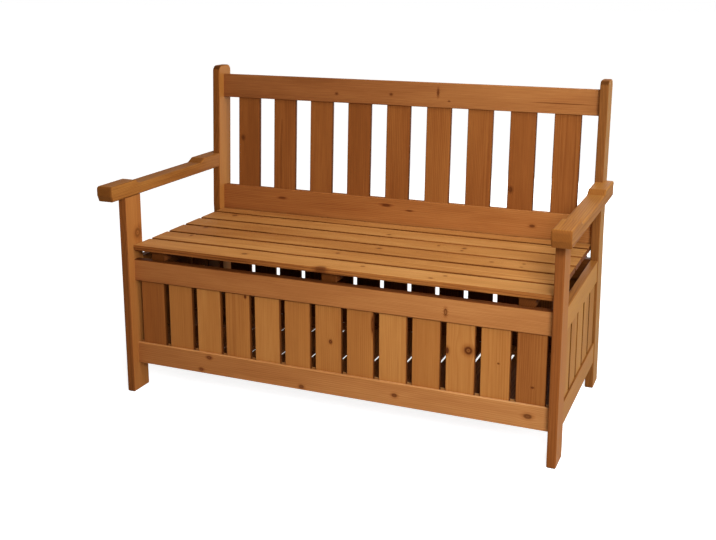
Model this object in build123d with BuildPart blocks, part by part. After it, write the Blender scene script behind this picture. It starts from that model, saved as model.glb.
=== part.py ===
# Garden storage bench: a slatted timber box with a hinged seat lid, two scooped
# armrests and a slatted back. Seen from the front, +X is to the right, +Y to the back
# and +Z up, with the origin on the ground under the middle of the bench.
import os
from math import atan2, cos, sin

from build123d import *

os.makedirs("parts", exist_ok=True)

# Overall sizes, in millimetres
frame_width = 1154.0      # over the outer faces of the legs
post_height = 832.0       # ground to the top of the rear posts
seat_height = 402.0       # ground to the top of the lid
leg_to_post = 473.0       # front of the front legs to the front of the posts at the bend

# Legs and rear posts, sawn from one board thickness
leg_thick = 22.0
leg_depth = 69.0
leg_round = 3.0
foot_chamfer = 2.5
bend_height = 420.0       # height at which the rear posts bend
foot_rake = 21.0          # how far the foot of a post lies behind its bend
back_rake = 21.0          # how far the top of a post lies behind its bend
bend_radius = 300.0
post_top_round = 17.0

# Armrests
arm_height = 532.0        # ground to the underside
arm_wide = 45.0
arm_thick = 40.0          # at the front and rear pads
arm_scoop = 11.0          # how far the middle is cut down
nose_overhang = 57.0      # in front of the front legs
arm_flange = 37.0         # how far the outer half runs on beside the rear post
front_pad = 110.0
rear_pad = 122.0
front_scoop_run = 14.0    # lengths of the slopes at the ends of the scoop
rear_scoop_run = 22.0
front_scoop_round = 30.0
rear_scoop_round = 14.0
pad_round = 8.0
nose_bevel_tall = 16.0
nose_bevel_deep = 7.0
arm_end_bevel = 5.0
arm_edge_round = 4.0

# Rails of the box
rail_tall = 58.0
rail_thick = 22.0
rail_round = 2.5
rail_bevel = 1.5          # side rails and rear rails
lower_rail_height = 75.0  # ground to the underside of the lower rails
front_setback = 27.0      # rails behind the front of the front legs
side_rail_thick = 20.0

# Slats of the box and the back, all of one board
slat_wide = 71.0
slat_thick = 10.0
slat_bevel = 1.5
front_gap = 13.0          # least gap between front or rear slats
side_gap = 11.0
slat_setback = 7.0        # slat faces behind the faces of the front and back rails
side_slat_setback = 4.0
groove_deep = 8.0
groove_fit = 0.2          # slat to each wall of its groove
slat_end_gap = 0.5        # slat end to the bottom of its groove

# Back
top_rail_tall = 68.0
lower_back_tall = 74.0
back_setback = 28.0       # rails behind the front of the posts
back_gap = 46.0           # least gap between back slats
back_below_seat = 2.0     # underside of the lower back rail below the lid top
top_rail_drop = 26.0      # post tops above the top rail

# Joints between boards
tenon_long = 12.0
tenon_thick = 8.0
tenon_shoulder = 9.0
side_tenon = 6.0
tenon_back_margin = 1.0   # tenons of the rear rails to the rails' back faces
tenon_fit = 0.2
leg_tenon_tall = 18.0     # tenons of the front legs in the armrests
leg_tenon_shoulder = 12.0

# Floor of the box
floor_wide = 74.0
floor_thick = 9.0
floor_gap = 9.0
bearer_wide = 20.0
bearer_tall = 12.0
floor_end_gap = 0.5

# Seat lid
seat_slat_wide = 75.0
seat_slat_thick = 14.0
seat_slat_gap = 9.6
seat_slat_round = 2.5
narrowest_seat_slat = 25.0
seat_front_lap = 2.0      # lid front ahead of the front rail's face
lid_end_gap = 1.5         # lid ends to the legs
batten_wide = 38.0
batten_thick = 25.0
batten_inset = 64.0       # outer batten centres to the lid ends
batten_front_rest = 9.0   # how far each batten lies on the front rail
batten_rear_gap = 9.0     # batten ends in front of the hinge axis
batten_bevel = 1.5

# Butt hinges
hinge_long = 76.0
hinge_inset = 290.0       # hinge centres to the lid ends
knuckle_radius = 3.5
knuckle_count = 3
knuckle_gap = 0.3
pin_radius = 2.0
pin_overhang = 1.0
pin_hold = 0.02           # pin to the knuckles that hold it
pin_run = 0.06            # pin to the knuckles that turn on it
leaf_thick = 2.0
frame_leaf_tall = 44.0
lid_leaf_deep = 28.0
leaf_edge_gap = 0.6       # leaf to the other leaf's knuckles
lid_to_knuckle = 0.4      # fixed knuckles to the lid's underside
lid_tail = 16.5           # lid behind the hinge axis
open_gap = 1.9            # standing lid to the lower back rail

# Places that follow from the sizes
half_width = frame_width / 2
leg_inside = half_width - leg_thick
inner_width = 2 * leg_inside
depth = nose_overhang + leg_to_post + max(foot_rake, back_rake) + leg_depth
front_y = nose_overhang - depth / 2
leg_rear_y = front_y + leg_depth
bend_y = front_y + leg_to_post
lean = atan2(back_rake, post_height - bend_height)
upper_rail_top = seat_height - seat_slat_thick - batten_thick
upper_rail_height = upper_rail_top - rail_tall
lower_rail_top = lower_rail_height + rail_tall
rail_mids = {"lower": lower_rail_height + rail_tall / 2, "upper": upper_rail_height + rail_tall / 2}
panel_open = upper_rail_height - lower_rail_top
slat_tongue = groove_deep - slat_end_gap
slat_tall = panel_open + 2 * slat_tongue
panel_mid = (upper_rail_height + lower_rail_top) / 2
tenon_tall = rail_tall - 2 * tenon_shoulder
front_rail_y = front_y + front_setback
front_rail_mid = front_rail_y + rail_thick / 2
side_rail_x = leg_inside + side_rail_thick / 2
side_slat_x = leg_inside + side_rail_thick - side_slat_setback - slat_thick / 2
leg_mid_x = leg_inside + leg_thick / 2

# The back lies in a plane that leans with the upper posts. Its height is counted
# along the slope from the bend, and its depth from the front of the rails.
back_plane = Plane(
    origin=(0, bend_y + back_setback, bend_height), x_dir=(1, 0, 0), z_dir=(0, sin(lean), cos(lean))
)
lower_back_base = (seat_height - back_below_seat - bend_height) / cos(lean)
lower_back_top = lower_back_base + lower_back_tall
top_back_top = (post_height - top_rail_drop - bend_height) / cos(lean)
top_back_base = top_back_top - top_rail_tall
back_mids = {"lower": lower_back_base + lower_back_tall / 2, "top": top_back_top - top_rail_tall / 2}
back_talls = {"lower": lower_back_tall, "top": top_rail_tall}
back_grooves = {"lower": lower_back_top, "top": top_back_base}
back_slat_base = lower_back_top - slat_tongue
back_slat_tall = top_back_base + slat_tongue - back_slat_base

# The lid turns on an axis under its rear slat, placed so that the lid can stand
# upright just in front of the lower back rail.
lid_underside = seat_height - seat_slat_thick
hinge_z = lid_underside - lid_to_knuckle - knuckle_radius
back_corner_y = bend_y + back_setback + lower_back_base * sin(lean)
hinge_y = back_corner_y - open_gap - (seat_height - hinge_z)
rear_rail_y = hinge_y + knuckle_radius
rear_rail_mid = rear_rail_y + rail_thick / 2
rear_tenon_y = rear_rail_y + rail_thick - tenon_back_margin - tenon_thick / 2
lid_front_y = front_rail_y - seat_front_lap
lid_rear_y = hinge_y + lid_tail
lid_long = inner_width - 2 * lid_end_gap
seat_pitch = seat_slat_wide + seat_slat_gap
wide_slats = int((lid_rear_y - lid_front_y - narrowest_seat_slat) // seat_pitch)
hinge_xs = (hinge_inset - lid_long / 2, lid_long / 2 - hinge_inset)

frame_leaf_y = hinge_y + knuckle_radius - leaf_thick
lid_leaf_z = lid_underside - leaf_thick

arm_top = arm_height + arm_thick
sides = {"left": -1, "right": 1}


def post_front(height):
    """Depth of the front edge of a rear post at a height."""
    if height < bend_height:
        return bend_y + foot_rake * (bend_height - height) / bend_height
    return bend_y + back_rake * (height - bend_height) / (post_height - bend_height)


def save(piece, label):
    """Label a finished piece and write it."""
    piece.part.label = label
    export_step(piece.part, f"parts/{label}.step")


def mortise(wide, deep, tall):
    """Cut a hole in which a tenon of this size has a little play."""
    Box(wide + 2 * tenon_fit, deep + 2 * tenon_fit, tall + 2 * tenon_fit, mode=Mode.SUBTRACT)


def post_profile(x):
    """The outline of a rear post, drawn on the side plane at x."""
    with BuildSketch(Plane.YZ.offset(x)) as outline:
        with BuildLine():
            Polyline(
                (post_front(0), 0), (bend_y, bend_height), (post_front(post_height), post_height),
                (post_front(post_height) + leg_depth, post_height), (bend_y + leg_depth, bend_height),
                (post_front(0) + leg_depth, 0), close=True,
            )
        make_face()
        fillet(outline.vertices().group_by(Axis.Y)[1], bend_radius)
        fillet(outline.vertices().group_by(Axis.Y)[-1], post_top_round)
        chamfer(outline.vertices().group_by(Axis.Y)[0], foot_chamfer)
    return outline.sketch


# Front legs: plain boards on edge, mortised for the rails, with a tenon for the arm
leg_mid_y = front_y + leg_depth / 2
leg_tenon_deep = leg_depth - 2 * leg_tenon_shoulder
for side, sign in sides.items():
    with BuildPart() as leg:
        with Locations((sign * leg_mid_x, leg_mid_y, arm_height / 2)):
            Box(leg_thick, leg_depth, arm_height)
        fillet(leg.edges().filter_by(Axis.Z), leg_round)
        chamfer(leg.faces().sort_by(Axis.Z)[0].edges(), foot_chamfer)
        for mid in rail_mids.values():
            with Locations((sign * leg_inside, front_rail_mid, mid)):
                mortise(2 * tenon_long, tenon_thick, tenon_tall)
            with Locations((sign * side_rail_x, leg_rear_y, mid)):
                mortise(tenon_thick, 2 * side_tenon, tenon_tall)
        with Locations((sign * leg_mid_x, leg_mid_y, arm_height)):
            Box(tenon_thick, leg_tenon_deep, 2 * leg_tenon_tall)
    save(leg, f"front_leg_{side}")

# Rear posts: bent boards with rounded tops, which carry the box and the back
for side, sign in sides.items():
    with BuildPart() as post:
        extrude(post_profile(sign * leg_mid_x), amount=leg_thick / 2, both=True)
        fillet(post.faces().filter_by(Axis.X).edges(), leg_round)
        for mid in rail_mids.values():
            with Locations((sign * leg_inside, rear_tenon_y, mid)):
                mortise(2 * tenon_long, tenon_thick, tenon_tall)
            with Locations((sign * side_rail_x, post_front(mid), mid)):
                mortise(tenon_thick, 2 * side_tenon, tenon_tall)
        for level, mid in back_mids.items():
            with Locations(back_plane.location * Location((sign * leg_inside, rail_thick / 2, mid))):
                mortise(2 * tenon_long, tenon_thick, back_talls[level] - 2 * tenon_shoulder)
    save(post, f"rear_post_{side}")

# Armrests: scooped between two pads, bevelled under the nose, and notched at the
# rear so that the outer half runs on beside the post
nose_y = front_y - nose_overhang
arm_end_y = post_front(arm_height + arm_thick / 2) + arm_flange
scoop_z = arm_top - arm_scoop
for side, sign in sides.items():
    with BuildPart() as arm:
        with BuildSketch(Plane.YZ.offset(sign * (leg_inside + arm_wide / 2))) as outline:
            with BuildLine():
                Polyline(
                    (nose_y + nose_bevel_deep, arm_height), (arm_end_y, arm_height), (arm_end_y, arm_top),
                    (arm_end_y - rear_pad, arm_top), (arm_end_y - rear_pad - rear_scoop_run, scoop_z),
                    (nose_y + front_pad + front_scoop_run, scoop_z), (nose_y + front_pad, arm_top),
                    (nose_y, arm_top), (nose_y, arm_height + nose_bevel_tall), close=True,
                )
            make_face()
            chamfer(outline.vertices().group_by(Axis.X)[-1], arm_end_bevel)
            fillet(outline.vertices().group_by(Axis.Y)[-1].sort_by(Axis.X)[:3], pad_round)
            dip = outline.vertices().filter_by_position(Axis.Y, scoop_z, scoop_z).sort_by(Axis.X)
            fillet(dip[0], front_scoop_round)
            fillet(dip[-1], rear_scoop_round)
        extrude(amount=arm_wide / 2, both=True)
        fillet(arm.faces().filter_by(Axis.X).edges(), arm_edge_round)
        extrude(post_profile(sign * leg_mid_x), amount=leg_thick / 2, both=True, mode=Mode.SUBTRACT)
        with Locations((sign * leg_mid_x, leg_mid_y, arm_height)):
            mortise(tenon_thick, leg_tenon_deep, 2 * leg_tenon_tall)
    save(arm, f"arm_{side}")

# Front and rear rails: four boards across the bench with a stub tenon at each end.
# The front pair is grooved for the slats, and the rear pair carries them on its back.
rail_rows = (("front", front_rail_mid, front_rail_mid), ("rear", rear_rail_mid, rear_tenon_y))
for row, mid_y, tenon_y in rail_rows:
    for level, mid_z in rail_mids.items():
        with BuildPart() as rail:
            with Locations((0, mid_y, mid_z)):
                Box(inner_width, rail_thick, rail_tall)
            if row == "front":
                fillet(rail.edges().filter_by(Axis.X), rail_round)
            else:
                chamfer(rail.edges().filter_by(Axis.X), rail_bevel)
            with Locations((0, tenon_y, mid_z)):
                Box(inner_width + 2 * tenon_long, tenon_thick, tenon_tall)
            if row == "front":
                groove_z = lower_rail_top if level == "lower" else upper_rail_height
                with Locations((0, front_rail_y + slat_setback + slat_thick / 2, groove_z)):
                    Box(inner_width, slat_thick + 2 * groove_fit, 2 * groove_deep, mode=Mode.SUBTRACT)
        save(rail, f"{row}_{level}_rail")

# Side rails: from each front leg to the sloping front edge of the post behind it
for side, sign in sides.items():
    for level, mid_z in rail_mids.items():
        with BuildPart() as rail:
            base = mid_z - rail_tall / 2
            top = mid_z + rail_tall / 2
            with BuildSketch(Plane.YZ.offset(sign * side_rail_x)):
                with BuildLine():
                    Polyline(
                        (leg_rear_y, base), (post_front(base), base), (post_front(top), top),
                        (leg_rear_y, top), close=True,
                    )
                make_face()
            extrude(amount=side_rail_thick / 2, both=True)
            chamfer(rail.edges().filter_by(Axis.Y), rail_bevel)
            tenon_ends = (leg_rear_y - side_tenon, post_front(mid_z) + side_tenon)
            with Locations((sign * side_rail_x, sum(tenon_ends) / 2, mid_z)):
                Box(tenon_thick, tenon_ends[1] - tenon_ends[0], tenon_tall)
            groove_z = lower_rail_top if level == "lower" else upper_rail_height
            with Locations((sign * side_slat_x, sum(tenon_ends) / 2, groove_z)):
                Box(
                    slat_thick + 2 * groove_fit, tenon_ends[1] - tenon_ends[0], 2 * groove_deep,
                    mode=Mode.SUBTRACT,
                )
        save(rail, f"{side}_{level}_side_rail")

# Back rails: two wider boards in the leaning plane, grooved towards each other
for level, mid_z in back_mids.items():
    with BuildPart(back_plane) as rail:
        with Locations((0, rail_thick / 2, mid_z)):
            Box(inner_width, rail_thick, back_talls[level])
        fillet(rail.edges().filter_by(Axis.X), rail_round)
        with Locations((0, rail_thick / 2, mid_z)):
            Box(inner_width + 2 * tenon_long, tenon_thick, back_talls[level] - 2 * tenon_shoulder)
        with Locations((0, slat_setback + slat_thick / 2, back_grooves[level])):
            Box(inner_width, slat_thick + 2 * groove_fit, 2 * groove_deep, mode=Mode.SUBTRACT)
    save(rail, f"back_{level}_rail")


def even_places(count):
    """Centres of slats that stand with equal gaps between the legs."""
    pitch = slat_wide + (inner_width - count * slat_wide) / (count + 1)
    return [pitch * (place - (count - 1) / 2) for place in range(count)]


# Back slats: upright boards that lean with the rails
back_count = int((inner_width - back_gap) // (slat_wide + back_gap))
for number, x in enumerate(even_places(back_count), start=1):
    with BuildPart(back_plane) as slat:
        with Locations((x, slat_setback + slat_thick / 2, back_slat_base + back_slat_tall / 2)):
            Box(slat_wide, slat_thick, back_slat_tall)
        chamfer(slat.edges().filter_by(Axis((0, 0, 0), back_plane.z_dir)), slat_bevel)
    save(slat, f"back_slat_{number}")

# Front slats: upright boards held by the grooves of the front rails
front_xs = even_places(int((inner_width - front_gap) // (slat_wide + front_gap)))
for number, x in enumerate(front_xs, start=1):
    with BuildPart() as slat:
        with Locations((x, front_rail_y + slat_setback + slat_thick / 2, panel_mid)):
            Box(slat_wide, slat_thick, slat_tall)
        chamfer(slat.edges().filter_by(Axis.Z), slat_bevel)
    save(slat, f"front_slat_{number}")

# Rear slats: the same boards, full height, fixed on the backs of the rear rails
rear_slat_tall = upper_rail_top - lower_rail_height
with BuildPart() as rear_slats:
    rear_slat_y = rear_rail_y + rail_thick + slat_thick / 2
    with Locations(*[(x, rear_slat_y, lower_rail_height + rear_slat_tall / 2) for x in front_xs]):
        Box(slat_wide, slat_thick, rear_slat_tall)
    chamfer(rear_slats.edges().filter_by(Axis.Z), slat_bevel)
save(rear_slats, "rear_slats")

# Side slats: spread over the bay between each leg and post
bay = post_front(panel_mid) - leg_rear_y
side_count = int(bay // (slat_wide + side_gap))
for side, sign in sides.items():
    with BuildPart() as side_slats:
        with Locations((sign * side_slat_x, leg_rear_y + bay / 2, panel_mid)):
            with GridLocations(0, bay / side_count, 1, side_count):
                Box(slat_thick, slat_wide, slat_tall)
        chamfer(side_slats.edges().filter_by(Axis.Z), slat_bevel)
    save(side_slats, f"{side}_side_slats")

# Floor: boards from front to rear, nailed on two bearers fixed to the lower rails
floor_front = front_rail_y + rail_thick
bearer_ys = {"front": floor_front + bearer_wide / 2, "rear": rear_rail_y - bearer_wide / 2}
for row, y in bearer_ys.items():
    with BuildPart() as bearer:
        with Locations((0, y, lower_rail_height + bearer_tall / 2)):
            Box(inner_width, bearer_wide, bearer_tall)
    save(bearer, f"floor_bearer_{row}")
floor_pitch = floor_wide + floor_gap
with BuildPart() as floor_boards:
    floor_mid = (0, (floor_front + rear_rail_y) / 2, lower_rail_height + bearer_tall + floor_thick / 2)
    with Locations(floor_mid):
        with GridLocations(floor_pitch, 0, int((inner_width + floor_gap) // floor_pitch), 1):
            Box(floor_wide, rear_rail_y - floor_front - 2 * floor_end_gap, floor_thick)
    chamfer(floor_boards.edges().filter_by(Axis.Y), slat_bevel)
save(floor_boards, "floor_boards")

# Seat lid: boards along the bench, the last one cut narrower, on three battens that
# rest on the front rail
batten_front = front_rail_y + rail_thick - batten_front_rest
batten_rear = hinge_y - batten_rear_gap
batten_xs = {"left": batten_inset - lid_long / 2, "middle": 0, "right": lid_long / 2 - batten_inset}
seat_edges = [(lid_front_y + seat_pitch * place, lid_front_y + seat_pitch * place + seat_slat_wide)
              for place in range(wide_slats)]
seat_edges.append((lid_front_y + seat_pitch * wide_slats, lid_rear_y))
for number, (near, far) in enumerate(seat_edges, start=1):
    with BuildPart() as slat:
        with Locations((0, (near + far) / 2, lid_underside + seat_slat_thick / 2)):
            Box(lid_long, far - near, seat_slat_thick)
        fillet(slat.edges().filter_by(Axis.X), seat_slat_round)
    save(slat, f"seat_slat_{number}")
for name, x in batten_xs.items():
    with BuildPart() as batten:
        with Locations((x, (batten_front + batten_rear) / 2, upper_rail_top + batten_thick / 2)):
            Box(batten_wide, batten_rear - batten_front, batten_thick)
        chamfer(batten.edges().filter_by(Axis.Y), batten_bevel)
    save(batten, f"seat_batten_{name}")

# Butt hinges: the fixed leaves stand on the inner face of the rear upper rail and the
# lid leaves lie under the rear slat. Knuckles alternate, and the fixed leaves have
# the outer ones.
knuckle_pitch = hinge_long / knuckle_count
knuckle_long = knuckle_pitch - knuckle_gap
leaf_reach = knuckle_radius + leaf_edge_gap
frame_knuckles = range(0, knuckle_count, 2)
lid_knuckles = range(1, knuckle_count, 2)


def knuckle_places(knuckles, y, z):
    """Points at a depth and height, one for each listed knuckle of both hinges."""
    shift = (knuckle_count - 1) / 2
    return [(x + knuckle_pitch * (knuckle - shift), y, z) for x in hinge_xs for knuckle in knuckles]


with BuildPart() as frame_leaves:
    plate_tall = frame_leaf_tall - leaf_reach
    plate_y = frame_leaf_y + leaf_thick / 2
    with Locations(*[(x, plate_y, hinge_z - leaf_reach - plate_tall / 2) for x in hinge_xs]):
        Box(hinge_long, leaf_thick, plate_tall)
    with Locations(*knuckle_places(frame_knuckles, plate_y, hinge_z - leaf_reach / 2)):
        Box(knuckle_long, leaf_thick, leaf_reach)
    with Locations(*knuckle_places(frame_knuckles, hinge_y, hinge_z)):
        Cylinder(knuckle_radius, knuckle_long, rotation=(0, 90, 0))
    with Locations(*[(x, hinge_y, hinge_z) for x in hinge_xs]):
        Cylinder(pin_radius + pin_hold, hinge_long, rotation=(0, 90, 0), mode=Mode.SUBTRACT)
save(frame_leaves, "hinge_frame_leaves")
with BuildPart() as lid_leaves:
    plate_deep = lid_leaf_deep - leaf_reach
    plate_z = lid_leaf_z + leaf_thick / 2
    with Locations(*[(x, hinge_y - leaf_reach - plate_deep / 2, plate_z) for x in hinge_xs]):
        Box(hinge_long, plate_deep, leaf_thick)
    with Locations(*knuckle_places(lid_knuckles, hinge_y - leaf_reach / 2, plate_z)):
        Box(knuckle_long, leaf_reach, leaf_thick)
    with Locations(*knuckle_places(lid_knuckles, hinge_y, hinge_z)):
        Cylinder(knuckle_radius, knuckle_long, rotation=(0, 90, 0))
    with Locations(*[(x, hinge_y, hinge_z) for x in hinge_xs]):
        Cylinder(pin_radius + pin_run, hinge_long, rotation=(0, 90, 0), mode=Mode.SUBTRACT)
save(lid_leaves, "hinge_lid_leaves")
with BuildPart() as pins:
    with Locations(*[(x, hinge_y, hinge_z) for x in hinge_xs]):
        Cylinder(pin_radius, hinge_long + 2 * pin_overhang, rotation=(0, 90, 0))
save(pins, "hinge_pins")
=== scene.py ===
import math

import bmesh
import bpy
from mathutils import Matrix, Vector


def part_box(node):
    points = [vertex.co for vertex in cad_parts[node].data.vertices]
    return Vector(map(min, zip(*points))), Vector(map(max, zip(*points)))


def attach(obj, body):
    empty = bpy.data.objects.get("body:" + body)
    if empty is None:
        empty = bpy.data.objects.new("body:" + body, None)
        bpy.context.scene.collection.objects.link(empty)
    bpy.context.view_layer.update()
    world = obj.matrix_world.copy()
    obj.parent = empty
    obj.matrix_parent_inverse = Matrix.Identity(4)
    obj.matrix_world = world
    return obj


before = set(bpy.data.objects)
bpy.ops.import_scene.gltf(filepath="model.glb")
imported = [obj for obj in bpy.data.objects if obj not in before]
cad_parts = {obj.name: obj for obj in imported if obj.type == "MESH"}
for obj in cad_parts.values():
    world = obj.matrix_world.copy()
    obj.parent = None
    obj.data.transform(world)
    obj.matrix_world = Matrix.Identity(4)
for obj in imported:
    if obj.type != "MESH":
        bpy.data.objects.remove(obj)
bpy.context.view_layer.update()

# Camera: it stands to the right of the bench and looks down on the seat, as the
# photograph does. The lens is shifted a little, so that the uprights lean only slightly.
eye_tilt, eye_turn = 0.2163, 0.3922
eye = bpy.data.objects.new("eye", bpy.data.cameras.new("eye"))
eye.location = (0.9583, -2.3440, 1.0939)
eye.rotation_euler = (math.pi / 2 - eye_tilt, 0, eye_turn)
eye.data.lens = 50.29
eye.data.sensor_width = 36
eye.data.shift_y = -0.105
bpy.context.scene.collection.objects.link(eye)
bpy.context.scene.camera = eye

# Legs and rear posts: planed softwood boards on edge, stained honey brown. The front
# legs are tenoned into the armrests, and the posts are sawn with a bend at the seat.


def put(tree, kind, inputs=None, **settings):
    """Add a node, set its options, and fill or link its inputs."""
    made = tree.nodes.new(kind)
    for key, value in settings.items():
        setattr(made, key, value)
    for key, value in (inputs or {}).items():
        if isinstance(value, bpy.types.NodeSocket):
            tree.links.new(value, made.inputs[key])
        else:
            made.inputs[key].default_value = value
    return made


def sums(tree, operation, *values, **settings):
    """One step of arithmetic."""
    made = put(tree, "ShaderNodeMath", dict(enumerate(values)), operation=operation, **settings)
    return made.outputs[0]


def squares(tree, first, second):
    """The sum of the squares of two values."""
    return sums(
        tree, "ADD", sums(tree, "MULTIPLY", first, first), sums(tree, "MULTIPLY", second, second)
    )


def rise(tree, value, low, high, start=0.0, end=1.0):
    """A smooth change from start to end as the value goes from low to high."""
    return put(
        tree, "ShaderNodeMapRange", {0: value, 1: low, 2: high, 3: start, 4: end},
        interpolation_type="SMOOTHSTEP",
    ).outputs[0]


def blend(tree, share, first, second, **settings):
    """The first colour with a share of the second mixed in, or laid on as blend_type says."""
    return put(
        tree, "ShaderNodeMix", {0: share, 6: first, 7: second}, data_type="RGBA", **settings
    ).outputs[2]


def parts_of(tree, vector):
    """The three numbers of a vector."""
    return put(tree, "ShaderNodeSeparateXYZ", {0: vector}).outputs


def effect(name, takes, gives):
    """A new node group, with its inputs and outputs."""
    group = bpy.data.node_groups.new(name, "ShaderNodeTree")
    for label, kind in takes.items():
        group.interface.new_socket(label, in_out="INPUT", socket_type="NodeSocket" + kind)
    for label, kind in gives.items():
        group.interface.new_socket(label, in_out="OUTPUT", socket_type="NodeSocket" + kind)
    return group, put(group, "NodeGroupInput").outputs, put(group, "NodeGroupOutput").inputs


def separate_boards():
    """Tells boards apart: the place from a board's middle, and three numbers of chance for it."""
    group, takes, gives = effect(
        "separate boards", {"Place": "Vector", "Middle": "Vector", "Pitch": "Vector"},
        {"Local": "Vector", "Chance": "Vector"},
    )
    half = (0.5, 0.5, 0.5)

    def vectors(operation, *values):
        made = put(group, "ShaderNodeVectorMath", dict(enumerate(values)), operation=operation)
        return made.outputs[0]

    away = vectors("SUBTRACT", takes["Place"], takes["Middle"])
    number = vectors("FLOOR", vectors("ADD", vectors("DIVIDE", away, takes["Pitch"]), half))
    chance = put(group, "ShaderNodeTexWhiteNoise", {"Vector": number}, noise_dimensions="3D")
    local = vectors("SUBTRACT", away, vectors("MULTIPLY", number, takes["Pitch"]))
    group.links.new(local, gives["Local"])
    group.links.new(chance.outputs["Color"], gives["Chance"])
    return group


def branch_knot():
    """A knot where a branch grew: its dark ring, the redder wood round it, and how far it
    pushes the grain aside. Its rings are measured in half sizes of the knot."""
    group, takes, gives = effect(
        "branch knot",
        {"Along": "Float", "Across": "Float", "Middle Along": "Float", "Middle Across": "Float",
         "Half Long": "Float", "Half Wide": "Float", "Heart": "Float"},
        {"Push": "Float", "Dark": "Float", "Halo": "Float"},
    )
    pith_inner, pith_outer, pith_dark = 0.05, 0.25, 0.9
    ring_inner, ring_outer = 0.65, 1.25
    halo_inner, halo_outer = 0.9, 2.2
    push_share, push_fade = 0.85, -0.16
    side = sums(group, "SUBTRACT", takes["Across"], takes["Middle Across"])
    ahead = sums(group, "SUBTRACT", takes["Along"], takes["Middle Along"])
    lengthwise = sums(group, "DIVIDE", ahead, takes["Half Long"])
    sideways = sums(group, "DIVIDE", side, takes["Half Wide"])
    square = squares(group, lengthwise, sideways)
    out = sums(group, "SQRT", square)
    core = rise(group, out, ring_inner, ring_outer, 1.0, 0.0)
    heart = rise(group, out, pith_outer, ring_inner, 1.0, 0.0)
    ring = sums(group, "SUBTRACT", core, sums(group, "MULTIPLY", heart, takes["Heart"]))
    pith = rise(group, out, pith_inner, pith_outer, pith_dark, 0.0)
    group.links.new(sums(group, "MAXIMUM", ring, pith), gives["Dark"])
    group.links.new(rise(group, out, halo_inner, halo_outer, 1.0, 0.0), gives["Halo"])
    fade = sums(group, "EXPONENT", sums(group, "MULTIPLY", square, push_fade))
    push = sums(group, "MULTIPLY", sums(group, "MULTIPLY", side, fade), push_share)
    group.links.new(push, gives["Push"])
    return group


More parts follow.
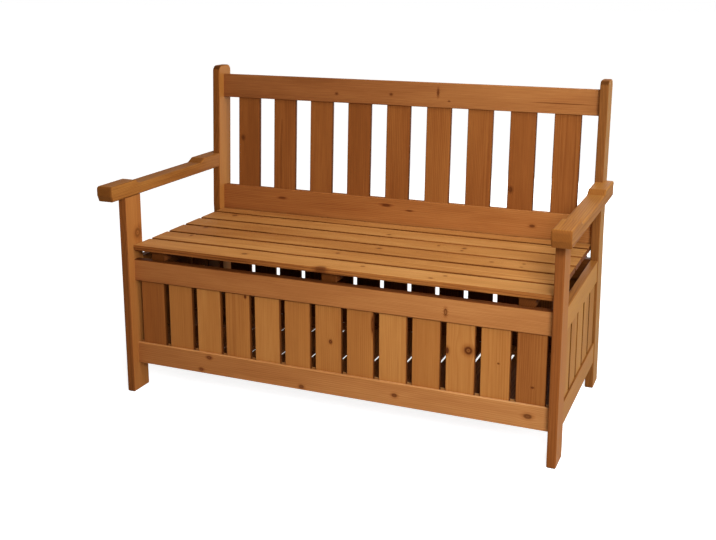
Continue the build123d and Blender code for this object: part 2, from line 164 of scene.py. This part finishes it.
def stained_softwood():
    """Growth rings, fibres and blotches under a brown stain, with darker knots. Chance gives
    each board of a kind its own place in the log, so that neighbours differ in figure."""
    group, takes, gives = effect(
        "stained softwood",
        {"Along": "Float", "Across": "Float", "Through": "Float", "Chance": "Vector", "Push": "Float",
         "Knot": "Float", "Halo": "Float", "Tone": "Float", "Figure": "Float"},
        {"Color": "Color", "Roughness": "Float", "Height": "Float"},
    )
    apart_along, apart_through = 9.0, 17.0
    pith_spread, pith_depth, pith_deeper = 0.20, 0.014, 0.03
    ring_spacing, ring_wider = 0.0028, 0.0022
    ring_wander, ring_waver, ring_sharpness, late_share = 0.012, 0.9, 2.2, 0.60
    log_taper, log_taper_more = 0.001, 0.004
    fibre_shade, late_shade, blotch_shade, halo_shade = 0.36, -0.24, 0.36, -0.20
    mean_roughness, fibre_roughness = 0.58, 0.30
    fibre_height, late_height, knot_height = 0.9, 0.5, -0.4
    chance = parts_of(group, takes["Chance"])
    along = sums(group, "MULTIPLY_ADD", chance[0], apart_along, takes["Along"])
    log_place = sums(group, "MULTIPLY", chance[1], apart_through)

    def noise(lengthwise, sideways, detail, rough=0.5):
        """Noise about 0, with so many waves in a metre along and across the grain."""
        vector = put(group, "ShaderNodeCombineXYZ", {
            0: sums(group, "MULTIPLY", along, lengthwise),
            1: sums(group, "MULTIPLY", takes["Across"], sideways),
            2: sums(group, "MULTIPLY_ADD", takes["Through"], sideways, log_place),
        }).outputs[0]
        made = put(group, "ShaderNodeTexNoise", {
            "Vector": vector, "Scale": 1.0, "Detail": detail, "Roughness": rough,
        })
        return sums(group, "SUBTRACT", made.outputs["Fac"], 0.5)

    wander = sums(group, "MULTIPLY", noise(lengthwise=1.3, sideways=6.0, detail=2.0), ring_wander)
    pith = sums(group, "MULTIPLY", sums(group, "SUBTRACT", chance[1], 0.5), pith_spread)
    side = sums(
        group, "SUBTRACT", sums(group, "ADD", takes["Across"], wander),
        sums(group, "ADD", takes["Push"], pith),
    )
    depth = sums(group, "MULTIPLY_ADD", chance[2], pith_deeper, pith_depth)
    radius = sums(
        group, "SQRT", squares(group, side, sums(group, "ADD", takes["Through"], depth))
    )
    slope = sums(group, "MULTIPLY_ADD", chance[0], log_taper_more, log_taper)
    taper = sums(group, "MULTIPLY", along, slope)
    spacing = sums(group, "MULTIPLY_ADD", chance[2], ring_wider, ring_spacing)
    rings = sums(group, "DIVIDE", sums(group, "ADD", radius, taper), spacing)
    waver = noise(lengthwise=4.0, sideways=50.0, detail=2.0)
    rings = sums(group, "MULTIPLY_ADD", waver, ring_waver, rings)
    late = sums(group, "POWER", sums(group, "FRACT", rings), ring_sharpness)
    patches = noise(lengthwise=2.6, sideways=26.0, detail=1.0)
    late = sums(group, "MULTIPLY", late, sums(group, "ADD", patches, late_share))
    fibre = noise(lengthwise=9.0, sideways=430.0, detail=3.0, rough=0.62)
    blotch = noise(lengthwise=2.2, sideways=16.0, detail=3.0, rough=0.6)
    figure = sums(group, "MULTIPLY", fibre, fibre_shade)
    figure = sums(group, "MULTIPLY_ADD", late, late_shade, figure)
    figure = sums(group, "MULTIPLY_ADD", blotch, blotch_shade, figure)
    tone = sums(group, "MULTIPLY_ADD", takes["Halo"], halo_shade, takes["Tone"])
    tone = sums(group, "MULTIPLY_ADD", figure, takes["Figure"], tone, use_clamp=True)
    stain = put(group, "ShaderNodeValToRGB", {0: tone})
    stops = stain.color_ramp.elements
    stops[0].color = (0.090, 0.024, 0.004, 1)
    stops[1].color = (0.640, 0.330, 0.110, 1)
    for tone_between, brown in (
        (0.28, (0.225, 0.066, 0.014, 1)), (0.52, (0.360, 0.132, 0.030, 1)),
        (0.76, (0.490, 0.212, 0.056, 1)),
    ):
        stops.new(tone_between).color = brown
    knot_brown = (0.085, 0.020, 0.004, 1)
    group.links.new(blend(group, takes["Knot"], stain.outputs[0], knot_brown), gives["Color"])
    roughness = sums(group, "MULTIPLY_ADD", fibre, fibre_roughness, mean_roughness)
    group.links.new(roughness, gives["Roughness"])
    ridges = sums(group, "MULTIPLY_ADD", late, late_height, sums(group, "MULTIPLY", fibre, fibre_height))
    height = sums(group, "MULTIPLY_ADD", takes["Knot"], knot_height, ridges)
    group.links.new(height, gives["Height"])
    return group


boards_apart = separate_boards()
knot_effect = branch_knot()
softwood = stained_softwood()
no_next = 10.0


def stained_wood(
    piece, grain, middle, pitch, tone, spread=0.12, tones=(), painted_light_drift=0.0, edges=0.0, end_grain_and_shade=-0.30,
    painted_inside_shade=0.0, figure=1.0, knots=(), bleed=1.0, lean=0.0, tint=(1, 1, 1, 1),
):
    """A stained board's material. grain names the axes along, across and through the board,
    middle is the middle of one board, and pitch leads to the next, or is no_next where there is
    none. tone goes from red brown at 0 to honey at 1, and differs between boards by spread or by the
    listed tones. It drifts by so much in a metre along a board, a painted fall of light. On edges,
    a darker change is a painted shade and a paler change a painted highlight. End grain takes more
    stain, and where the change there is large it is painted shade as well. Faces that look in towards
    the middle of the bench are darker, a painted shade. figure is how strong the grain shows, less so
    on end grain. Each knot has its middle along and across, its half length and half width, and how
    pale its heart is, and bleed is how much of the knots' dark colour shows. Boards that lean back by
    an angle are measured as they would stand without it. tint colours the finished board, and where
    it pales and blues the board it is a painted sheen."""
    made = bpy.data.materials.new(piece.replace("_", " ") + " wood")
    made.use_nodes = True
    tree = made.node_tree
    shader = tree.nodes["Principled BSDF"]
    shader.inputs["Specular IOR Level"].default_value = 0.03
    along, across, through = ("XYZ".index(axis) for axis in grain)
    sides = put(tree, "ShaderNodeTexCoord").outputs
    place = put(
        tree, "ShaderNodeMapping", {"Vector": sides["Object"], "Rotation": (lean, 0, 0)}
    ).outputs[0]
    board = put(
        tree, "ShaderNodeGroup", {"Place": place, "Middle": middle, "Pitch": pitch},
        node_tree=boards_apart,
    ).outputs
    whole = parts_of(tree, place)
    local = parts_of(tree, board["Local"])
    facing = parts_of(tree, sides["Normal"])

    push, dark, halo = 0.0, 0.0, 0.0
    for middle_along, middle_across, half_long, half_wide, heart in knots:
        knot = put(tree, "ShaderNodeGroup", {
            "Along": whole[along], "Across": whole[across],
            "Middle Along": middle_along, "Middle Across": middle_across,
            "Half Long": half_long, "Half Wide": half_wide, "Heart": heart,
        }, node_tree=knot_effect).outputs
        push = sums(tree, "ADD", knot["Push"], push)
        dark = sums(tree, "MAXIMUM", knot["Dark"], dark)
        halo = sums(tree, "MAXIMUM", knot["Halo"], halo)

    if tones:
        half = pitch[across] * len(tones) / 2
        count = put(tree, "ShaderNodeMapRange", {0: whole[across], 1: -half, 2: half}).outputs[0]
        chart = put(tree, "ShaderNodeValToRGB", {0: count})
        chart.color_ramp.interpolation = "CONSTANT"
        marks = chart.color_ramp.elements
        marks.remove(marks[1])
        for number, shade in enumerate(tones):
            mark = marks.new(number / len(tones)) if number else marks[0]
            mark.color = (shade, shade, shade, 1)
        stained = sums(tree, "ADD", chart.outputs[0], tone)
    else:
        chance = parts_of(tree, board["Chance"])[2]
        stained = sums(tree, "MULTIPLY_ADD", chance, spread, tone - spread / 2)
    # The tone rises towards one end of each board, a painted fall of light.
    stained = sums(tree, "MULTIPLY_ADD", local[along], painted_light_drift, stained)
    hardly_turned, mostly_turned = 0.15, 0.65
    is_end = rise(tree, sums(tree, "ABSOLUTE", facing[along]), hardly_turned, mostly_turned)
    painted_edge_light = rise(tree, sums(tree, "ABSOLUTE", facing[across]), hardly_turned, mostly_turned)
    outward = sums(tree, "MULTIPLY", facing[through], sums(tree, "SIGN", whole[through]))
    inside_shade_mask = rise(tree, outward, -mostly_turned, -hardly_turned, 1.0, 0.0)
    # Darker edges are a painted shade and paler edges a painted highlight. Darker faces that look in
    # towards the middle are a painted shade. Darker end grain is the wood's own, and a large change
    # there is painted shade too.
    for mask, change in ((is_end, end_grain_and_shade), (painted_edge_light, edges), (inside_shade_mask, painted_inside_shade)):
        stained = sums(tree, "MULTIPLY_ADD", mask, change, stained)

    end_figure = -0.6 * figure
    wood = put(tree, "ShaderNodeGroup", {
        "Along": local[along], "Across": local[across], "Through": local[through],
        "Chance": board["Chance"], "Push": push, "Tone": stained,
        "Knot": sums(tree, "MULTIPLY", dark, bleed), "Halo": sums(tree, "MULTIPLY", halo, bleed),
        "Figure": sums(tree, "MULTIPLY_ADD", is_end, end_figure, figure),
    }, node_tree=softwood).outputs
    # Where the tint pales and blues a board it is a painted sheen.
    finish_and_sheen = blend(tree, 1.0, wood["Color"], tint, blend_type="MULTIPLY")
    tree.links.new(finish_and_sheen, shader.inputs["Base Color"])
    tree.links.new(wood["Roughness"], shader.inputs["Roughness"])
    bump = put(
        tree, "ShaderNodeBump", {"Strength": 0.35, "Distance": 0.0006, "Height": wood["Height"]}
    )
    tree.links.new(bump.outputs[0], shader.inputs["Normal"])
    return made


def dress(material, *starts):
    """Give a material to the CAD nodes whose names begin so."""
    for name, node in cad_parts.items():
        if name.startswith(starts):
            node.data.materials.clear()
            node.data.materials.append(material)


def middle_of(node):
    """The middle of a CAD node."""
    low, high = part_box(node)
    return (Vector(low) + Vector(high)) / 2


# The front and rear faces of the legs and posts are darker, a painted shade.
leg = middle_of("front_leg_right")
leg_knot = (0.431, -0.2055, 0.013, 0.0125, 0.95)
for name, knots in (("front_leg_left", (leg_knot,)), ("front_leg_right", ())):
    dress(
        stained_wood(
            name, "ZYX", middle=(leg.x, leg.y, 0), pitch=(2 * leg.x, no_next, no_next), tone=0.52,
            spread=0.04, edges=-0.27, figure=0.7, bleed=0.6, knots=knots,
        ),
        name,
    )
post = middle_of("rear_post_right")
# The posts are a shaded and a lit copy of one wood: the left one's duller colour is painted shade, and
# the right one's paler, bluer colour is a painted sheen.
left_post_shade_tint, right_post_sheen_tint = (0.96, 0.97, 0.85, 1), (1.0, 1.18, 1.25, 1)
for name, tint in (("rear_post_left", left_post_shade_tint), ("rear_post_right", right_post_sheen_tint)):
    dress(
        stained_wood(
            name, "ZYX", middle=(post.x, post.y, 0), pitch=(2 * post.x, no_next, no_next), tone=0.58,
            spread=0.04, edges=-0.34, figure=0.7, tint=tint,
        ),
        name,
    )

# Rails of the box: four boards across the bench, tenoned into the legs and posts. The
# front pair is grooved on its inner edges to hold the slats.
front_rail, rear_rail = middle_of("front_lower_rail"), middle_of("rear_lower_rail")
rail_rise = middle_of("front_upper_rail").z - front_rail.z
front_rail_knots = (
    (-0.337, 0.121, 0.007, 0.005, 0.6), (-0.362, 0.085, 0.006, 0.004, 0.6),
    (-0.072, 0.084, 0.007, 0.005, 0.2), (0.177, 0.102, 0.007, 0.005, 0.2),
    (0.503, 0.105, 0.010, 0.006, 0.2), (0.302, 0.330, 0.004, 0.009, 0.9),
)
# The upper rail's top and bottom faces are darker, a painted shade under the lid, and the lower rail's
# are paler, a painted highlight on its top edge. On both, faces that look into the box are darker, a
# painted shade; the tone rises to the right, a painted fall of light; and the bluer colour is a painted
# sheen.
for name, edges in (("front_upper_rail", -0.45), ("front_lower_rail", 0.24)):
    dress(
        stained_wood(
            name, "XZY", middle=front_rail, pitch=(no_next, no_next, rail_rise), tone=0.55,
            spread=0.06, painted_light_drift=0.24, edges=edges, painted_inside_shade=-0.25, bleed=0.8, tint=(1.0, 1.0, 1.2, 1),
            knots=front_rail_knots,
        ),
        name,
    )
# The rear rails' top and bottom faces and their faces that look into the box are darker, a painted
# shade.
dress(
    stained_wood(
        "rear rail", "XZY", middle=rear_rail, pitch=(no_next, no_next, rail_rise), tone=0.40,
        edges=-0.16, painted_inside_shade=-0.28,
    ),
    "rear_upper_rail", "rear_lower_rail",
)

# Front slats: thin upright boards in the grooves of the front rails, cut from different
# planks, so some take the stain redder than others.
front_slat = middle_of("front_slat_7")
slat_pitch = middle_of("front_slat_8").x - front_slat.x
# The slats' side edges and their faces that look into the box are darker, a painted shade.
dress(
    stained_wood(
        "front slat", "ZXY", middle=front_slat, pitch=(slat_pitch, no_next, no_next), tone=0.30,
        edges=-0.45, painted_inside_shade=-0.25, figure=0.7,
        tones=(0.04, 0.18, 0.29, 0.21, 0.31, 0.23, 0.22, 0.19, 0.36, 0.22, 0.31, 0.28, 0.08),
        knots=(
            (0.298, -0.230, 0.004, 0.003, 0.0), (0.212, 0.006, 0.005, 0.004, 0.6),
            (0.241, 0.357, 0.010, 0.010, 0.7), (0.234, 0.306, 0.008, 0.004, 0.0),
            (0.271, 0.117, 0.022, 0.003, 0.4), (0.220, 0.429, 0.0018, 0.0024, 0.9),
            (0.174, 0.510, 0.0020, 0.0030, 0.9),
        ),
    ),
    "front_slat",
)

# Sides of the box: an upper and a lower rail from each leg to its post, grooved as the
# front rails are, with upright slats between them.
yellower = (1.0, 1.10, 0.96, 1)
side_rail, side_slat = middle_of("right_lower_side_rail"), middle_of("right_side_slats")
side_pitch = 0.0828
# The rails' top and bottom faces, the slats' side edges and all faces that look into the box are darker,
# a painted shade.
for level, tone in (("upper", 0.68), ("lower", 0.59)):
    dress(
        stained_wood(
            f"{level} side rail", "YZX", middle=side_rail, pitch=(2 * side_rail.x, no_next, rail_rise),
            tone=tone, spread=0, edges=-0.3, painted_inside_shade=-0.35, tint=yellower,
        ),
        f"left_{level}_side_rail", f"right_{level}_side_rail",
    )
dress(
    stained_wood(
        "side slat", "ZYX", middle=side_slat, pitch=(2 * side_slat.x, side_pitch, no_next), tone=0.63,
        edges=-0.5, painted_inside_shade=-0.35, tint=yellower,
    ),
    "left_side_slats", "right_side_slats",
)

# Rear of the box: full-height boards of the front slats' width, nailed on the backs of
# the two rear rails. Their side edges and their faces that look into the box are darker, a painted
# shade.
dress(
    stained_wood(
        "rear slat", "ZXY", middle=middle_of("rear_slats"), pitch=(slat_pitch, no_next, no_next),
        tone=0.42, edges=-0.18, painted_inside_shade=-0.31,
    ),
    "rear_slats",
)

# Floor of the box: thin boards from front to rear with narrow gaps between them, nailed
# on two bearers that run along the lower rails.
floor_pitch = 0.083
bearer = middle_of("floor_bearer_front")
bearer_pitch = middle_of("floor_bearer_rear").y - bearer.y
dress(
    stained_wood(
        "floor board", "YXZ", middle=middle_of("floor_boards"), pitch=(floor_pitch, no_next, no_next),
        tone=0.34,
    ),
    "floor_boards",
)
dress(
    stained_wood("bearer", "XYZ", middle=bearer, pitch=(no_next, bearer_pitch, no_next), tone=0.34),
    "floor_bearer",
)

# Back: a top and a lower rail that lean with the posts, and slats in their grooves with
# wide gaps between them. The middles are measured as if the back stood without its lean.
back_lean = 0.0509
lower_rail_middle, top_rail_rise = (0, 0.237, 0.452), 0.333
back_slat_middle, back_slat_pitch = (0, 0.238, 0.62), middle_of("back_slat_6").x
back_rail_knots = (
    (-0.358, 0.460, 0.012, 0.003, 0.0), (-0.028, 0.466, 0.013, 0.004, 0.0),
    (0.042, 0.456, 0.009, 0.002, 0.0), (0.393, 0.446, 0.008, 0.004, 0.0),
    (-0.187, 0.776, 0.004, 0.003, 0.0), (-0.021, 0.781, 0.004, 0.003, 0.0),
    (0.116, 0.792, 0.003, 0.010, 0.0), (0.148, 0.770, 0.003, 0.002, 0.0),
    (0.450, 0.778, 0.060, 0.0009, 0.0),
)
top_rail_sheen_tint, lower_tint = (0.99, 1.04, 1.28, 1), (0.98, 0.93, 1.0, 1)
# The back rails' tone rises to the right, a painted fall of light, and the top rail's paler, bluer
# colour is a painted sheen.
for name, tint in (("back_top_rail", top_rail_sheen_tint), ("back_lower_rail", lower_tint)):
    dress(
        stained_wood(
            name, "XZY", middle=lower_rail_middle, pitch=(no_next, no_next, top_rail_rise), tone=0.47,
            painted_light_drift=0.24, lean=back_lean, bleed=0.75, tint=tint, knots=back_rail_knots,
        ),
        name,
    )
# The back slats' side edges are darker, a painted shade.
dress(
    stained_wood(
        "back slat", "ZXY", middle=back_slat_middle, pitch=(back_slat_pitch, no_next, no_next),
        tone=0.27, tones=(0.02, 0.04, 0.08, 0.03, 0.06, 0.11, 0.11, 0.06, 0.09), edges=-0.30,
        lean=back_lean, figure=0.7, bleed=0.7,
        knots=((0.631, -0.493, 0.006, 0.005, 0.0), (0.539, 0.327, 0.007, 0.006, 0.4)),
    ),
    "back_slat",
)

# Armrests: thick boards sawn with a scooped top and a rounded nose. They sit on the
# tenons of the front legs and are notched round the posts.
arm = middle_of("arm_right")
dress(
    stained_wood(
        "arm", "YXZ", middle=(arm.x, 0, arm.z), pitch=(2 * arm.x, no_next, no_next), tone=0.44,
        end_grain_and_shade=-0.235, figure=1.3, tint=yellower,
    ),
    "arm_left", "arm_right",
)

# Seat lid: six boards along the bench on three battens. The edges between the boards
# are darker, a painted shade in the gaps, less so on the front board; the end grain is darker,
# deepened into painted shade, and the tone rises to the right, a painted fall of light.
seat_board, batten = middle_of("seat_slat_1"), middle_of("seat_batten_middle")
seat_pitch = middle_of("seat_slat_2").y - seat_board.y
batten_pitch = middle_of("seat_batten_right").x
seat_knots = (
    (0.027, 0.130, 0.006, 0.005, 0.0), (0.257, 0.072, 0.006, 0.006, 0.0),
    (0.257, 0.050, 0.004, 0.004, 0.0), (0.187, 0.073, 0.004, 0.004, 0.0),
    (0.052, -0.010, 0.008, 0.005, 0.0), (0.355, -0.022, 0.005, 0.004, 0.0),
    (0.433, -0.010, 0.004, 0.004, 0.0), (0.433, -0.038, 0.004, 0.003, 0.0),
    (-0.028, -0.093, 0.005, 0.005, 0.0), (0.075, -0.178, 0.006, 0.004, 0.0),
    (0.285, -0.178, 0.005, 0.004, 0.0), (0.258, -0.207, 0.006, 0.004, 0.0),
    (-0.245, -0.190, 0.008, 0.006, 0.0), (-0.016, -0.226, 0.014, 0.012, 0.0),
    (-0.472, 0.165, 0.007, 0.009, 0.0), (-0.477, 0.013, 0.006, 0.010, 0.0),
    (-0.468, -0.082, 0.004, 0.006, 0.0),
)
other_boards = [f"seat_slat_{number}" for number in range(2, 7)]
for kind, boards, edges in (
    ("front seat board", ["seat_slat_1"], -0.44), ("seat board", other_boards, -0.56),
):
    dress(
        stained_wood(
            kind, "XYZ", middle=seat_board, pitch=(no_next, seat_pitch, no_next), tone=0.76, painted_light_drift=0.14,
            figure=1.7, edges=edges, end_grain_and_shade=-0.65, bleed=0.65, knots=seat_knots,
        ),
        *boards,
    )
dress(
    stained_wood("batten", "YXZ", middle=batten, pitch=(batten_pitch, no_next, no_next), tone=0.28),
    "seat_batten",
)

# Hinges: two plain butt hinges of zinc-plated steel. One leaf lies on the inner face of
# the rear upper rail and the other under the rear board of the lid.
dull_zinc, bright_zinc = (0.42, 0.41, 0.39, 1), (0.66, 0.66, 0.65, 1)
zinc = bpy.data.materials.new("zinc plate")
zinc.use_nodes = True
tree = zinc.node_tree
shader = tree.nodes["Principled BSDF"]
shader.inputs["Metallic"].default_value = 1.0
place = put(tree, "ShaderNodeTexCoord").outputs["Object"]
spangle = put(
    tree, "ShaderNodeTexNoise", {"Vector": place, "Scale": 260.0, "Detail": 4.0}
).outputs["Fac"]
tree.links.new(blend(tree, spangle, dull_zinc, bright_zinc), shader.inputs["Base Color"])
tree.links.new(rise(tree, spangle, 0.3, 0.7, start=0.30, end=0.48), shader.inputs["Roughness"])
dress(zinc, "hinge_")

# Screws and nails: countersunk zinc-plated screws hold the hinge leaves and the lid's
# boards, and plain nails hold the boards of the rear and the floor.
screw_radius, screw_proud, recess_deep = 0.0036, 0.0003, 0.0012
recess_long, recess_wide = 0.0021, 0.0006
nail_radius, nail_proud, nail_taper = 0.0028, 0.0005, 0.85
screw_facets, nail_facets = 20, 14
sunk = 0.0003


def stand_at(spot, out):
    """The place of a head that lies at a spot with its face turned towards out."""
    return Matrix.Translation(spot) @ Vector(out).to_track_quat("Z", "Y").to_matrix().to_4x4()


def screw_head(mesh, spot, out):
    """A screw head with a cross recess."""
    rim = [(screw_radius * math.cos(turn), screw_radius * math.sin(turn))
           for turn in (2 * math.pi * step / screw_facets for step in range(screw_facets))]
    quarter = [(recess_long, -recess_wide), (recess_long, recess_wide), (recess_wide, recess_wide)]
    cross = []
    for step in range(4):
        turn = Matrix.Rotation(math.pi / 2 * step, 2)
        cross += [turn @ Vector(point) for point in quarter]
    stand = stand_at(spot, out)

    def loop(points, height):
        ring = [mesh.verts.new(stand @ Vector((x, y, height))) for x, y in points]
        return ring, [mesh.edges.new((ring[step - 1], ring[step])) for step in range(len(ring))]

    low_edges = loop(rim, -sunk)[1]
    top_edges = loop(rim, screw_proud)[1]
    mouth_edges = loop(cross, screw_proud)[1]
    base, base_edges = loop(cross, screw_proud - recess_deep)
    bmesh.ops.bridge_loops(mesh, edges=low_edges + top_edges)
    bmesh.ops.bridge_loops(mesh, edges=mouth_edges + base_edges)
    bmesh.ops.triangle_fill(mesh, edges=top_edges + mouth_edges, use_beauty=True)
    mesh.faces.new(base)


def nail_head(mesh, spot, out):
    """A flat round nail head."""
    half_way = Matrix.Translation((0, 0, (nail_proud - sunk) / 2))
    bmesh.ops.create_cone(
        mesh, cap_ends=True, segments=nail_facets, radius1=nail_radius,
        radius2=nail_radius * nail_taper, depth=nail_proud + sunk,
        matrix=stand_at(spot, out) @ half_way,
    )


def fasten(name, body, head, spots, out):
    """One piece that holds the heads of all the screws or nails of a kind."""
    mesh = bmesh.new()
    for spot in spots:
        head(mesh, spot, out)
    bmesh.ops.recalc_face_normals(mesh, faces=mesh.faces)
    made = bpy.data.meshes.new(name)
    mesh.to_mesh(made)
    mesh.free()
    made.materials.append(zinc)
    piece = bpy.data.objects.new(name, made)
    bpy.context.scene.collection.objects.link(piece)
    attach(piece, body)


leaf_long, leaf_tall, leaf_deep, leaf_thick = 0.076, 0.044, 0.028, 0.002
leaf_screws = ((-0.026, 0.3), (0, 0.55), (0.026, 0.3))
fixed_low, fixed_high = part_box("hinge_frame_leaves")
hinge_out = (fixed_high[0] - fixed_low[0] - leaf_long) / 2
fasten(
    "hinge_screws_frame", "frame", screw_head,
    [(hinge + away, fixed_high[1] - leaf_thick, fixed_low[2] + share * leaf_tall)
     for hinge in (-hinge_out, hinge_out) for away, share in leaf_screws],
    (0, -1, 0),
)
loose_low, loose_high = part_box("hinge_lid_leaves")
fasten(
    "hinge_screws_lid", "lid", screw_head,
    [(hinge + away, loose_low[1] + share * leaf_deep, loose_high[2] - leaf_thick)
     for hinge in (-hinge_out, hinge_out) for away, share in leaf_screws],
    (0, 0, -1),
)
pair, from_end = (-0.018, 0.018), 0.012
board_screws = [middle_of(f"seat_slat_{number}").y + away for number in range(1, 6) for away in pair]
board_screws.append(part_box("seat_batten_middle")[1][1] - from_end)
fasten(
    "lid_screws", "lid", screw_head,
    [(middle_of(name).x, y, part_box(name)[0][2])
     for name in ("seat_batten_left", "seat_batten_middle", "seat_batten_right")
     for y in board_screws],
    (0, 0, -1),
)
from_middle = range(-6, 7)
rear_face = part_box("rear_slats")[1][1]
fasten(
    "rear_nails", "frame", nail_head,
    [(slat_pitch * number + away, rear_face, middle_of(name).z)
     for number in from_middle for away in pair
     for name in ("rear_lower_rail", "rear_upper_rail")],
    (0, 1, 0),
)
floor_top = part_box("floor_boards")[1][2]
fasten(
    "floor_nails", "frame", nail_head,
    [(floor_pitch * number + away, middle_of(name).y, floor_top)
     for number in from_middle for away in pair
     for name in ("floor_bearer_front", "floor_bearer_rear")],
    (0, 0, 1),
)

# Studio: a pale floor that keeps the bench's shadow and fades to the white backdrop, a
# lamp near the right front, soft ones at the right side and overhead, and one behind.
floor_reach = 30
fade_from, fade_to, near_paleness = 1.5, 6.0, 0.935
ground = bmesh.new()
bmesh.ops.create_grid(ground, x_segments=1, y_segments=1, size=floor_reach)
floor_mesh = bpy.data.meshes.new("studio floor")
ground.to_mesh(floor_mesh)
ground.free()
floor = bpy.data.objects.new("studio_floor", floor_mesh)
bpy.context.scene.collection.objects.link(floor)
floor_paint = bpy.data.materials.new("studio floor paint")
floor_paint.use_nodes = True
tree = floor_paint.node_tree
shader = tree.nodes["Principled BSDF"]
shader.inputs["Base Color"].default_value = (0.55, 0.55, 0.55, 1)
shader.inputs["Roughness"].default_value = 0.9
shader.inputs["Specular IOR Level"].default_value = 0.1
shader.inputs["Emission Strength"].default_value = 0.92


def seen_directly(tree):
    """1 for what is seen straight or by reflection, and 0 for light that falls on things."""
    rays = put(tree, "ShaderNodeLightPath").outputs
    mirrored = sums(tree, "MAXIMUM", rays["Is Glossy Ray"], rays["Is Transmission Ray"])
    return sums(tree, "MAXIMUM", rays["Is Camera Ray"], mirrored)


place = put(tree, "ShaderNodeTexCoord").outputs["Object"]
distance = put(tree, "ShaderNodeVectorMath", {0: place}, operation="LENGTH").outputs["Value"]
paleness = rise(tree, distance, fade_from, fade_to, start=near_paleness)
glow = sums(tree, "MULTIPLY", seen_directly(tree), paleness)
tree.links.new(glow, shader.inputs["Emission Color"])
floor_mesh.materials.append(floor_paint)

lit_spot = Vector((0, 0, 0.4))
for name, spot, wide, power in (
    ("front lamp", (1.45, -2.5, 1.75), 0.8, 80.0),
    ("side lamp", (6.0, -1.2, 3.0), 3.0, 100.0),
    ("overhead lamp", (1.05, -0.45, 2.4), 1.6, 33.0),
    ("rear lamp", (0.3, 3.0, 0.55), 0.8, 30.0),
):
    lamp = bpy.data.objects.new(name, bpy.data.lights.new(name, "AREA"))
    lamp.data.size = wide
    lamp.data.energy = power
    lamp.data.color = (0.96, 1.0, 1.04)
    lamp.visible_camera = False
    lamp.location = spot
    lamp.rotation_euler = (lit_spot - Vector(spot)).to_track_quat("-Z", "Y").to_euler()
    bpy.context.scene.collection.objects.link(lamp)

fill_light, white = (0.14, 0.12, 0.095, 1), (1, 1, 1, 1)
world = bpy.data.worlds.new("studio")
world.use_nodes = True
bpy.context.scene.world = world
sky = world.node_tree
backdrop = blend(sky, seen_directly(sky), fill_light, white)
sky.links.new(backdrop, sky.nodes["Background"].inputs["Color"])
bpy.context.scene.view_settings.view_transform = "Standard"
